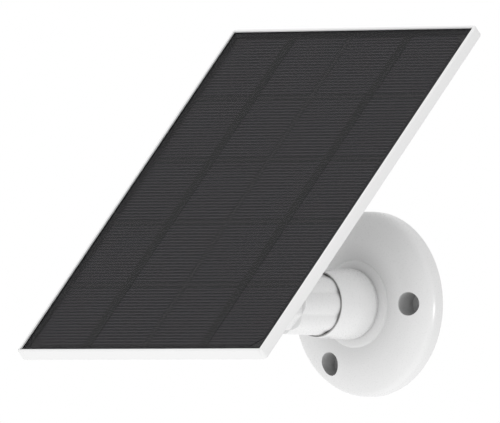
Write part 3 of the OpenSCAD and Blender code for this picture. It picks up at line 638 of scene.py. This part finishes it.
def finish_of(slot):
    """The material of a slot, made with all the others on first use."""
    if slot not in bpy.data.materials or "made_here" not in bpy.data.materials[slot]:
        for material in list(bpy.data.materials):
            material.name = "cad_" + material.name
        for key, material in make_materials(bpy.context.scene.panel_finish).items():
            material.name = key
            material["made_here"] = True
    return bpy.data.materials[slot]


# Operators

class SOLAR_OT_finishes(bpy.types.Operator):
    """Give every CAD node that keeps its shape its finish"""

    bl_idname = "solar.finishes"
    bl_label = "Finishes"

    def execute(self, context):
        for slot, nodes in FINISHES.items():
            for name in nodes:
                mesh = frame["nodes"][name].data
                mesh.materials.clear()
                mesh.materials.append(finish_of(slot))
        return {"FINISHED"}


class SOLAR_OT_wall_bracket(bpy.types.Operator):
    """Base and sleeve with soft edges, and a wear ring whose rim shows in the mouth of the sleeve"""

    bl_idname = "solar.wall_bracket"
    bl_label = "Wall bracket"

    def execute(self, context):
        edges = context.scene.panel_edges
        base, sleeve = merged_copy("wall_base"), merged_copy("neck_sleeve")
        close_foot(sleeve, edges.foot_share)
        lean_collar(base, edges.collar_lean)
        for name, bm, node in (("soft_base", base, "wall_base"), ("soft_sleeve", sleeve, "neck_sleeve")):
            soften(bm, edges.plastic_edge, CRISP)
            add_piece(name, bm, "base", "bracket_plastic", [node])
        low, high = span("wear_ring", OUT_OF_WALL)
        mouth = span("neck_sleeve", OUT_OF_WALL)[1].z
        bore = min(radius for radius, _ in round_points("wear_ring"))
        grip = max(radius for radius, out in round_points("swivel_arm") if high.z < out < mouth)
        inner = grip + edges.ring_room
        rim = mouth - edges.mouth_depth
        ring = lathe(
            ((bore, low.z), (high.x, low.z), (high.x, rim), (inner, rim), (inner, high.z), (bore, high.z)),
            2 * edges.round_steps,
        )
        bmesh.ops.transform(ring, matrix=OUT_OF_WALL, verts=ring.verts)
        add_piece("rimmed_ring", ring, "base", "friction_plastic", ["wear_ring"])
        return {"FINISHED"}


def collar_slope():
    """Radius and height where the collar's slope starts, its fall, its edge and the sleeve's radius."""
    points = round_points("wall_base")
    wall = max(radius for radius, _ in round_points("neck_sleeve"))
    seat = max(out for _, out in points)
    foot = max(radius for radius, out in points if out > seat - SNAP)
    far_out, far = max((out, radius) for radius, out in points if radius > wall)
    fall = (seat - far_out) / (far - foot)
    edge = max(radius for radius, out in points if abs(seat - fall * (radius - foot) - out) < SNAP)
    return foot, seat, fall, edge, wall


def lean_collar(bm, lean):
    """Leans the edge of the collar outwards at its foot, so that it runs softly into the dome."""
    foot, seat, fall, edge, _ = collar_slope()
    edge_out = seat - fall * (edge - foot)
    back = OUT_OF_WALL.inverted()
    for vert in bm.verts:
        place = back @ vert.co
        drop = edge_out - place.z
        if abs(math.hypot(place.x, place.y) - edge) < 2 * SNAP and 5 * SNAP < drop < COLLAR_EDGE:
            place.xy *= (edge + lean) / edge
            vert.co = OUT_OF_WALL @ place


def close_foot(bm, share):
    """Brings the sleeve's rounded foot down to the slope of the collar, so that no deep wedge is left."""
    foot, seat, fall, _, wall = collar_slope()
    back = OUT_OF_WALL.inverted()
    for vert in bm.verts:
        place = back @ vert.co
        reach = math.hypot(place.x, place.y) - foot
        if SNAP < reach < share * (wall - foot) and -SNAP < place.z - seat < wall - foot:
            place.z = seat - fall * reach + 2 * SNAP
            vert.co = OUT_OF_WALL @ place


class SOLAR_OT_grip_arm(bpy.types.Operator):
    """Swivel arm with smooth grip lobes, steep run-out facets and soft edges"""

    bl_idname = "solar.grip_arm"
    bl_label = "Grip arm"

    def execute(self, context):
        edges = context.scene.panel_edges
        bm = merged_copy("swivel_arm")
        shorten_facets(bm, edges.facet_share)
        soften(bm, edges.plastic_edge, CRISP)
        add_piece("grip_arm", bm, "arm", "bracket_plastic", ["swivel_arm"])
        return {"FINISHED"}


def shorten_facets(bm, share):
    """Slides the outer ends of the run-out facets along the arm, so that the facets stand steeper."""
    out = OUT_OF_WALL.to_3x3() @ Vector((0.0, 0.0, 1.0))
    facets = [f for f in bm.faces if abs(f.normal.dot(out) - math.sin(FACET_SLOPE)) < 0.01]
    moves = {}
    for facet in facets:
        start = min(v.co.dot(out) for v in facet.verts)
        for vert in facet.verts:
            moves[vert] = (start - vert.co.dot(out)) * (1 - share)
    for vert, move in moves.items():
        vert.co += move * out
    if not moves:
        raise RuntimeError("the arm has no run-out facets")


class SOLAR_OT_tilt_hinge(bpy.types.Operator):
    """Knuckle and lock ring with soft edges"""

    bl_idname = "solar.tilt_hinge"
    bl_label = "Tilt hinge"

    def execute(self, context):
        width = context.scene.panel_edges.plastic_edge
        add_soft_pieces((
            ("hinge_knuckle", "tilt_knuckle", "knuckle", width, "bracket_plastic"),
            ("ring_nut", "lock_ring", "ring", width, "bracket_plastic"),
        ), SOFT)
        return {"FINISHED"}


class SOLAR_OT_hinge_bolt(bpy.types.Operator):
    """Bolt and nut of the tilt hinge with soft edges"""

    bl_idname = "solar.hinge_bolt"
    bl_label = "Hinge bolt"

    def execute(self, context):
        width = context.scene.panel_edges.metal_edge
        add_soft_pieces((
            ("soft_pivot_bolt", "pivot_bolt", "arm", width, "steel"),
            ("soft_pivot_nut", "pivot_nut", "arm", width, "steel"),
        ), SOFT)
        return {"FINISHED"}


class SOLAR_OT_rear_pod(bpy.types.Operator):
    """Rear pod, its screws, its grommet and the swivel screw with soft edges"""

    bl_idname = "solar.rear_pod"
    bl_label = "Rear pod"

    def execute(self, context):
        edges = context.scene.panel_edges
        add_soft_pieces((
            ("soft_rear_pod", "rear_pod", "panel", edges.plastic_edge, "panel_plastic"),
            ("soft_pod_screws", "pod_screws", "panel", edges.metal_edge, "steel"),
            ("soft_cable_grommet", "cable_grommet", "panel", edges.plastic_edge, "seal_rubber"),
            ("soft_swivel_screw", "swivel_screw", "arm", edges.metal_edge, "steel"),
        ), CRISP)
        return {"FINISHED"}


class SOLAR_OT_threaded_stud(bpy.types.Operator):
    """Stud with a real thread"""

    bl_idname = "solar.threaded_stud"
    bl_label = "Threaded stud"

    def execute(self, context):
        edges = context.scene.panel_edges
        low, high = span("mount_stud", ALONG_STUD)
        bm = threaded_rod(high.x, edges.thread_depth, edges.thread_pitch, low.z, high.z, edges.round_steps)
        bmesh.ops.transform(bm, matrix=ALONG_STUD, verts=bm.verts)
        add_piece("threaded_stud", bm, "knuckle", "steel", ["mount_stud"])
        return {"FINISHED"}


def threaded_rod(radius, depth, pitch, start, end, steps):
    """A rod along z with one thread start, made by a screw sweep and cut flat at both ends."""
    bm = bmesh.new()
    root = radius - depth
    crest = pitch / 8
    tooth = [
        (root, 0.0), (radius, pitch / 2 - crest), (radius, pitch / 2), (root, pitch - crest), (root, pitch),
    ]
    verts = [bm.verts.new((x, 0.0, start - pitch + z)) for x, z in tooth]
    outline = [bm.edges.new(pair) for pair in zip(verts, verts[1:])]
    turns = math.ceil((end - start) / pitch) + 1
    bmesh.ops.spin(
        bm, geom=verts + outline, cent=(0, 0, 0), axis=(0, 0, 1), dvec=(0, 0, pitch / steps),
        angle=2 * math.pi * turns, steps=steps * turns, use_merge=False, use_normal_flip=False,
        use_duplicate=False,
    )
    bmesh.ops.remove_doubles(bm, verts=bm.verts, dist=NEW_WELD)
    for height, way in ((start, -1), (end, 1)):
        everything = bm.verts[:] + bm.edges[:] + bm.faces[:]
        cut = bmesh.ops.bisect_plane(
            bm, geom=everything, dist=1e-8, plane_co=(0, 0, height), plane_no=(0, 0, way), clear_outer=True
        )
        rim = [e for e in cut["geom_cut"] if isinstance(e, bmesh.types.BMEdge)]
        bmesh.ops.edgenet_fill(bm, edges=rim)
    bmesh.ops.recalc_face_normals(bm, faces=bm.faces)
    smooth(bm, THREAD)
    return bm


class SOLAR_OT_frame(bpy.types.Operator):
    """Panel frame with a slim lip whose inner edge is softened"""

    bl_idname = "solar.frame"
    bl_label = "Panel frame"

    def execute(self, context):
        edges = context.scene.panel_edges
        tray = merged_copy("panel_frame")
        bmesh.ops.transform(tray, matrix=ON_PANEL.inverted(), verts=tray.verts)
        glass, lip = span("cover_glass", ON_PANEL)[1], span("panel_frame", ON_PANEL)[1]
        floor = span("bond_tape", ON_PANEL)[0].z
        gap = 0.3 * MM
        for vert in tray.verts:
            if vert.co.z < floor - gap:
                continue
            for i in (0, 1):
                if glass[i] - gap < abs(vert.co[i]) < glass[i] + gap:
                    vert.co[i] += math.copysign(edges.lip_trim, vert.co[i])
        rim = [e for e in tray.edges if e.calc_face_angle(0.0) > SQUARE
               and all(abs(v.co.z - lip.z) < SNAP for v in e.verts)]
        bevel(tray, rim, edges.plastic_edge, ROUND)
        smooth(tray, SOFT)
        bmesh.ops.transform(tray, matrix=ON_PANEL, verts=tray.verts)
        add_piece("slim_frame", tray, "panel", "panel_plastic", ["panel_frame"])
        return {"FINISHED"}


class SOLAR_OT_filler(bpy.types.Operator):
    """Black filler that stands flush in the gaps between the cells"""

    bl_idname = "solar.filler"
    bl_label = "Cell filler"

    def execute(self, context):
        inner, outer, row_top, next_row = cell_grid()
        low, high = span("solar_cells", ON_PANEL)
        room = 0.005 * MM
        strips = [((-inner, low.y), (inner, high.y))]
        for k in (-2, -1, 0, 1):
            bottom = row_top + k * (row_top + next_row)
            top = bottom + next_row - row_top
            strips += [((-outer, bottom), (-inner, top)), ((inner, bottom), (outer, top))]
        filler = bmesh.new()
        mesh = bpy.data.meshes.new("strip")
        for (x0, y0), (x1, y1) in strips:
            inset = Vector((room, room, room))
            bm = box(Vector((x0, y0, low.z)) + inset, Vector((x1, y1, high.z)) - inset)
            bm.to_mesh(mesh)
            bm.free()
            filler.from_mesh(mesh)
        bpy.data.meshes.remove(mesh)
        bmesh.ops.transform(filler, matrix=ON_PANEL, verts=filler.verts)
        add_piece("cell_filler", filler, "panel", "black_film")
        return {"FINISHED"}


class SOLAR_OT_glass(bpy.types.Operator):
    """Chamfered cover glass with a black border printed on its underside and sides"""

    bl_idname = "solar.glass"
    bl_label = "Cover glass"

    def execute(self, context):
        edges = context.scene.panel_edges
        low, high = span("cover_glass", ON_PANEL)
        trim = Vector((edges.lip_trim, edges.lip_trim, 0.0))
        low, high = low - trim, high + trim
        skin = edges.print_thickness
        room = Vector((skin, skin, skin)) * 1.5
        pane = box(low + room, high - Vector((room.x, room.y, 0.0)))
        bevel(pane, pane.edges[:], edges.glass_edge, CHAMFER)
        rise = high.z - 2 * edges.glass_edge
        border = rectangle_sweep(high.x, high.y, (
            (0.0, low.z), (0.0, rise), (skin, rise), (skin, low.z + skin),
            (edges.print_width, low.z + skin), (edges.print_width, low.z),
        ))
        for bm in (pane, border):
            bmesh.ops.transform(bm, matrix=ON_PANEL, verts=bm.verts)
        add_piece("glass_pane", pane, "panel", "clear_glass", ["cover_glass"])
        add_piece("glass_print", border, "panel", "black_film", finish="black_print")
        return {"FINISHED"}


class SOLAR_OT_studio(bpy.types.Operator):
    """White studio, floor, lamp and camera"""

    bl_idname = "solar.studio"
    bl_label = "Studio"

    def execute(self, context):
        studio = context.scene.panel_studio
        context.scene.view_settings.view_transform = "Standard"
        make_world(studio)
        make_floor(studio)
        make_lamp(studio)
        make_camera(studio)
        return {"FINISHED"}


def make_world(studio):
    """Soft light from six sides, and plain white where the camera, gloss or glass looks past the object."""
    world = bpy.data.worlds.new("white_studio")
    bpy.context.scene.world = world
    world.use_nodes = True
    tree = world.node_tree
    tree.nodes.clear()
    way = put(tree, "ShaderNodeTexCoord").outputs["Generated"]
    part = put(tree, "ShaderNodeSeparateXYZ", {0: way}).outputs
    sides = ((studio.from_left, studio.from_right), (studio.from_front, studio.from_back),
             (studio.from_below, studio.from_above))
    levels = put(tree, "ShaderNodeCombineXYZ")
    for i, (low, high) in enumerate(sides):
        ahead = put(tree, "ShaderNodeMath", {0: part[i], 1: 0.0}, operation="GREATER_THAN")
        level = put(tree, "ShaderNodeMapRange", {"Value": ahead.outputs[0], "To Min": low, "To Max": high})
        tree.links.new(level.outputs["Result"], levels.inputs[i])
    squares = put(tree, "ShaderNodeVectorMath", {0: way, 1: way}, operation="MULTIPLY")
    strength = put(
        tree, "ShaderNodeVectorMath", {0: squares.outputs[0], 1: levels.outputs[0]}, operation="DOT_PRODUCT"
    )
    soft = put(tree, "ShaderNodeBackground", {"Color": WHITE, "Strength": strength.outputs["Value"]})
    white = put(tree, "ShaderNodeBackground", {"Color": WHITE, "Strength": 1.0})
    rays = put(tree, "ShaderNodeLightPath").outputs
    seen = rays["Is Camera Ray"]
    for kind in ("Is Glossy Ray", "Is Transmission Ray"):
        seen = put(tree, "ShaderNodeMath", {0: seen, 1: rays[kind]}, operation="MAXIMUM").outputs[0]
    mix = put(tree, "ShaderNodeMixShader", {0: seen, 1: soft.outputs[0], 2: white.outputs[0]})
    put(tree, "ShaderNodeOutputWorld", {"Surface": mix.outputs[0]})


def make_floor(studio):
    """A pale round floor that fades out at its edge and can't be seen from below."""
    bm = bmesh.new()
    bmesh.ops.create_circle(bm, cap_ends=True, segments=96, radius=studio.floor_radius)
    level = CAD_BOX[0].z - studio.floor_drop
    bmesh.ops.translate(bm, vec=(MIDDLE.x, MIDDLE.y, level), verts=bm.verts)
    mesh = bpy.data.meshes.new("studio_floor")
    bm.to_mesh(mesh)
    bm.free()
    floor = bpy.data.objects.new("studio_floor", mesh)
    bpy.context.scene.collection.objects.link(floor)
    mesh.materials.append(floor_material(studio))
    floor.visible_diffuse = False
    floor.visible_glossy = False
    floor.visible_shadow = False


def floor_material(studio):
    """Pale floor that is clear at its edge and from below."""
    material, tree, shader = new_material("pale_floor", Base_Color=(0.92, 0.92, 0.92, 1.0), Roughness=0.9)
    output = next(n for n in tree.nodes if n.type == "OUTPUT_MATERIAL")
    place = put(tree, "ShaderNodeTexCoord").outputs["Object"]
    flat = put(tree, "ShaderNodeMapping", {
        "Vector": place, "Location": (-MIDDLE.x, -MIDDLE.y, 0.0), "Scale": (1.0, 1.0, 0.0),
    })
    reach = put(tree, "ShaderNodeVectorMath", {0: flat.outputs[0]}, operation="LENGTH")
    fade = put(tree, "ShaderNodeMapRange", {
        "Value": reach.outputs["Value"], "From Min": studio.fade_start * studio.floor_radius,
        "From Max": studio.fade_end * studio.floor_radius,
    }, interpolation_type="SMOOTHSTEP")
    below = put(tree, "ShaderNodeNewGeometry").outputs["Backfacing"]
    hidden = put(tree, "ShaderNodeMath", {0: fade.outputs["Result"], 1: below}, operation="MAXIMUM")
    clear = put(tree, "ShaderNodeBsdfTransparent")
    mix = put(tree, "ShaderNodeMixShader", {0: hidden.outputs[0], 1: shader.outputs[0], 2: clear.outputs[0]})
    tree.links.new(mix.outputs[0], output.inputs["Surface"])
    return material


def make_lamp(studio):
    """One small lamp on the right, for the highlight on the rim."""
    lamp = bpy.data.lights.new("rim_lamp", "AREA")
    lamp.shape = "RECTANGLE"
    lamp.size, lamp.size_y = studio.rim_width, studio.rim_height
    lamp.energy = studio.rim_power
    holder = bpy.data.objects.new("rim_lamp", lamp)
    way = Vector(studio.rim_way)
    holder.location = MIDDLE + way
    holder.rotation_euler = (-way).to_track_quat("-Z", "Y").to_euler()
    bpy.context.scene.collection.objects.link(holder)


def make_camera(studio):
    """A very long lens at the photograph's viewing angle."""
    data = bpy.data.cameras.new("camera")
    data.lens = studio.lens
    data.clip_end = 3 * studio.distance
    camera = bpy.data.objects.new("camera", data)
    a, e = studio.azimuth, studio.elevation
    back = Vector((math.sin(a) * math.cos(e), -math.cos(a) * math.cos(e), math.sin(e)))
    camera.location = Vector(studio.aim) + back * studio.distance
    camera.rotation_euler = (-back).to_track_quat("-Z", "Y").to_euler()
    bpy.context.scene.collection.objects.link(camera)
    bpy.context.scene.camera = camera


class SOLAR_PT_sidebar(bpy.types.Panel):
    """Lists the steps that dress the object"""

    bl_idname = "SOLAR_PT_sidebar"
    bl_label = "Solar Panel"
    bl_space_type = "VIEW_3D"
    bl_region_type = "UI"
    bl_category = "Solar Panel"

    def draw(self, context):
        for operator in STEPS:
            self.layout.operator(operator.bl_idname)


STEPS = (
    SOLAR_OT_finishes,
    SOLAR_OT_wall_bracket,
    SOLAR_OT_grip_arm,
    SOLAR_OT_tilt_hinge,
    SOLAR_OT_hinge_bolt,
    SOLAR_OT_rear_pod,
    SOLAR_OT_threaded_stud,
    SOLAR_OT_frame,
    SOLAR_OT_filler,
    SOLAR_OT_glass,
    SOLAR_OT_studio,
)
SETTINGS = {
    "panel_finish": FinishSettings,
    "panel_edges": EdgeSettings,
    "panel_studio": StudioSettings,
}


def register():
    for cls in (*SETTINGS.values(), *STEPS, SOLAR_PT_sidebar):
        bpy.utils.register_class(cls)
    for name, cls in SETTINGS.items():
        setattr(bpy.types.Scene, name, PointerProperty(type=cls))


def unregister():
    for name in SETTINGS:
        delattr(bpy.types.Scene, name)
    for cls in (SOLAR_PT_sidebar, *reversed(STEPS), *reversed(SETTINGS.values())):
        bpy.utils.unregister_class(cls)


def main():
    """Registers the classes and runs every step."""
    register()
    for operator in STEPS:
        family, step = operator.bl_idname.split(".")
        getattr(getattr(bpy.ops, family), step)()


if __name__ == "__main__":
    main()
